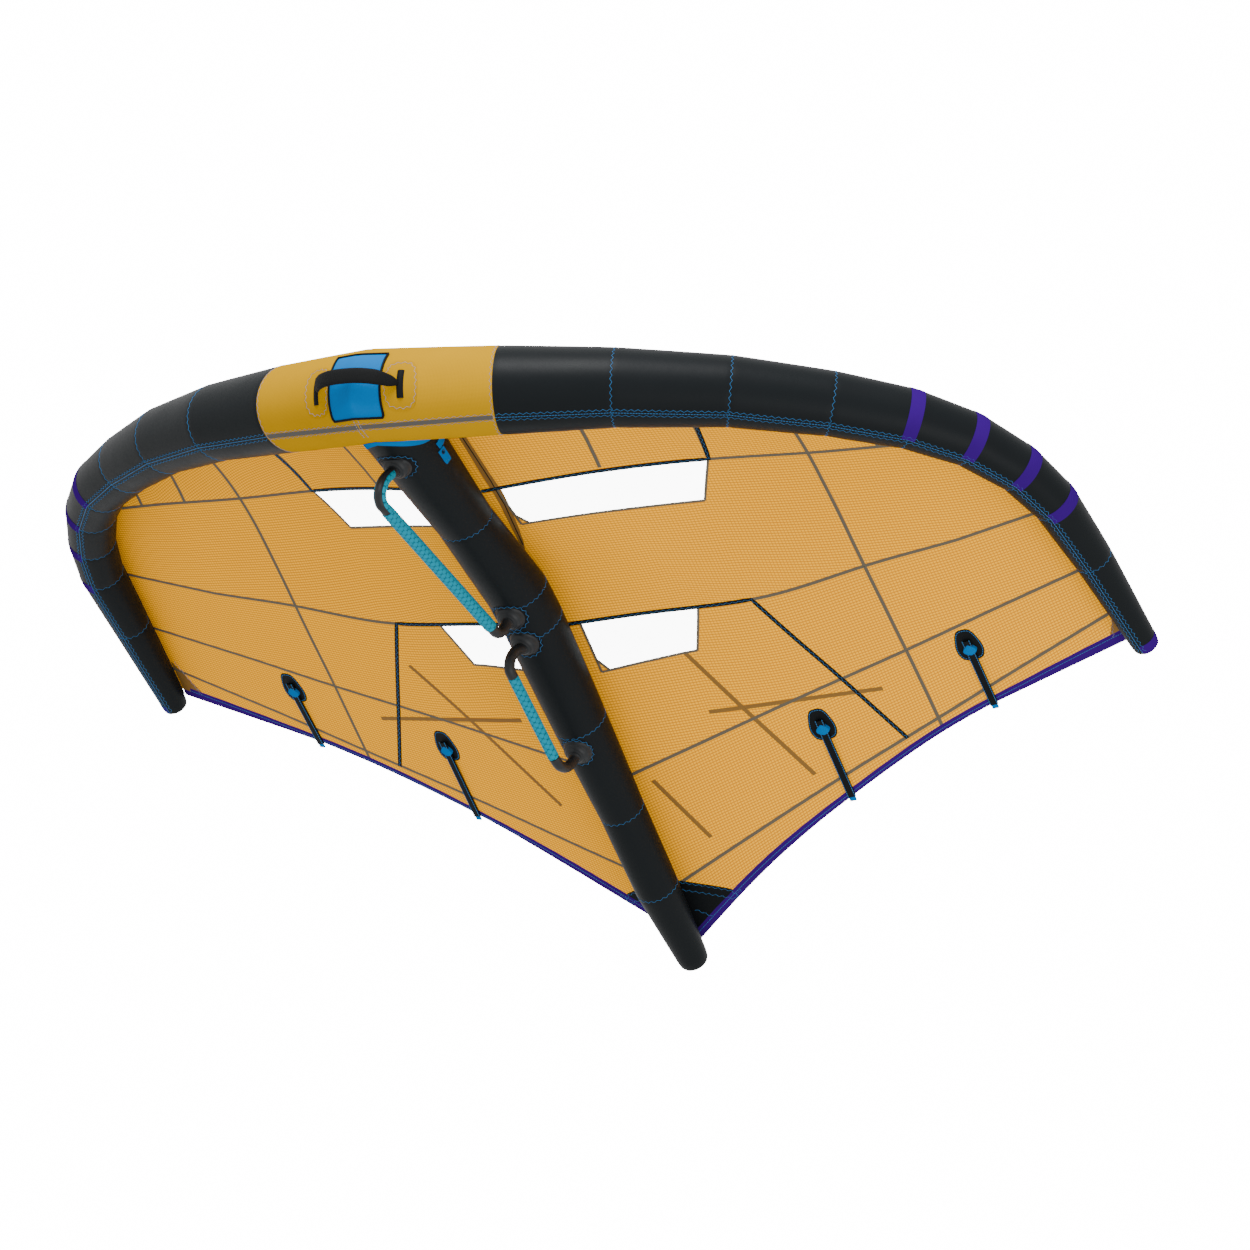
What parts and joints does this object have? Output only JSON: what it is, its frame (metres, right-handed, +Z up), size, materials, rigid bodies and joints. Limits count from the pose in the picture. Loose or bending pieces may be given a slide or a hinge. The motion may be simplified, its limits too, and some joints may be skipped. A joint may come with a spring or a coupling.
{
  "type": "inflatable foil wing",
  "caption": "Inflatable hand-held wing: padded leading-edge tube, central strut with two bar handles, sewn canopy with clear windows, battens and a capped air valve.",
  "frame": {"origin": "middle of the front strut handle's grip", "axes": "+X along the span to the wing's right-hand tip in the picture, +Y from the leading edge to the tail, +Z up to the canopy's side"},
  "size_m": [2.9686, 2.2149, 0.668],
  "materials": {
    "black_tube_cloth": "woven, matt",
    "yellow_tube_cloth": "woven, matt",
    "sand_canopy_cloth": "ripstop, satin",
    "window_film": "clear film",
    "purple_hem_cloth": "woven, matt",
    "pocket_cloth": "woven, matt",
    "glass_fibre": "smooth",
    "dark_moulded_plastic": "moulded",
    "teal_grip_foam": "foam grip",
    "handle_webbing": "padded webbing",
    "blue_pad_cloth": "woven, matt",
    "blue_webbing": "webbing",
    "bladder_film": "smooth film",
    "hose_rubber": "smooth"
  },
  "bodies": {
    "wing": {"batten_pocket_inner_left": "pocket_cloth", "batten_pocket_inner_right": "pocket_cloth", "batten_pocket_outer_left": "pocket_cloth", "batten_pocket_outer_right": "pocket_cloth", "canopy_fourth_left": "sand_canopy_cloth", "canopy_fourth_right": "sand_canopy_cloth", "canopy_front_left": "sand_canopy_cloth", "canopy_front_right": "sand_canopy_cloth", "canopy_second_left": "sand_canopy_cloth", "canopy_second_right": "sand_canopy_cloth", "canopy_third_left": "sand_canopy_cloth", "canopy_third_right": "sand_canopy_cloth", "canopy_trailing_left": "sand_canopy_cloth", "canopy_trailing_right": "sand_canopy_cloth", "crossover_hose": "hose_rubber", "front_handle_frame": "dark_moulded_plastic", "front_handle_grip": "teal_grip_foam", "front_window_left": "window_film", "front_window_right": "window_film", "handle_socket_1": "dark_moulded_plastic", "handle_socket_2": "dark_moulded_plastic", "handle_socket_3": "dark_moulded_plastic", "handle_socket_4": "dark_moulded_plastic", "le_bladder": "bladder_film", "le_centre_panel": "yellow_tube_cloth", "le_curve_panel_left": "black_tube_cloth", "le_curve_panel_right": "black_tube_cloth", "le_handle_pad": "blue_pad_cloth", "le_panel_1_left": "black_tube_cloth", "le_panel_1_right": "black_tube_cloth", "le_panel_2_left": "black_tube_cloth", "le_panel_2_right": "black_tube_cloth", "le_panel_3_left": "black_tube_cloth", "le_panel_3_right": "black_tube_cloth", "le_panel_4_left": "black_tube_cloth", "le_panel_4_right": "black_tube_cloth", "le_tip_panel_left": "black_tube_cloth", "le_tip_panel_right": "black_tube_cloth", "leash_tab": "blue_webbing", "rear_handle_frame": "dark_moulded_plastic", "rear_handle_grip": "teal_grip_foam", "rear_window_left": "window_film", "rear_window_right": "window_film", "strut_bladder": "bladder_film", "strut_front_panel": "black_tube_cloth", "strut_grip_panel": "black_tube_cloth", "strut_joint_panel": "black_tube_cloth", "strut_middle_panel": "black_tube_cloth", "strut_rear_panel": "black_tube_cloth", "strut_tail_panel": "black_tube_cloth", "trailing_hem_left": "purple_hem_cloth", "trailing_hem_right": "purple_hem_cloth", "valve_body": "dark_moulded_plastic"},
    "strap": {"le_handle_strap": "handle_webbing"},
    "cap": {"valve_cap": "dark_moulded_plastic"},
    "inner_batten_right": {"batten_inner_right": "glass_fibre"},
    "inner_batten_left": {"batten_inner_left": "glass_fibre"},
    "outer_batten_right": {"batten_outer_right": "glass_fibre"},
    "outer_batten_left": {"batten_outer_left": "glass_fibre"}
  },
  "joints": [
    {"name": "strap_swing", "type": "hinge", "parent": "wing", "child": "strap", "pos_m": [0, -0.55909, 0.04845], "axis": [1, 0, 0], "range_deg": [-20, 12]},
    {"name": "cap_hinge", "type": "hinge", "parent": "wing", "child": "cap", "pos_m": [0.19661, -0.3224, 0.14001], "axis": [0.2194, 0.0343, -0.975], "range_deg": [0, 140]},
    {"name": "inner_batten_right_slide", "type": "slide", "parent": "wing", "child": "inner_batten_right", "axis": [0, 0.9981, -0.0616], "range_m": [0, 0.2]},
    {"name": "inner_batten_left_slide", "type": "slide", "parent": "wing", "child": "inner_batten_left", "axis": [0, 0.9981, -0.0616], "range_m": [0, 0.2]},
    {"name": "outer_batten_right_slide", "type": "slide", "parent": "wing", "child": "outer_batten_right", "axis": [0, 0.9998, -0.0189], "range_m": [0, 0.17]},
    {"name": "outer_batten_left_slide", "type": "slide", "parent": "wing", "child": "outer_batten_left", "axis": [0, 0.9998, -0.0189], "range_m": [0, 0.17]}
  ]
}
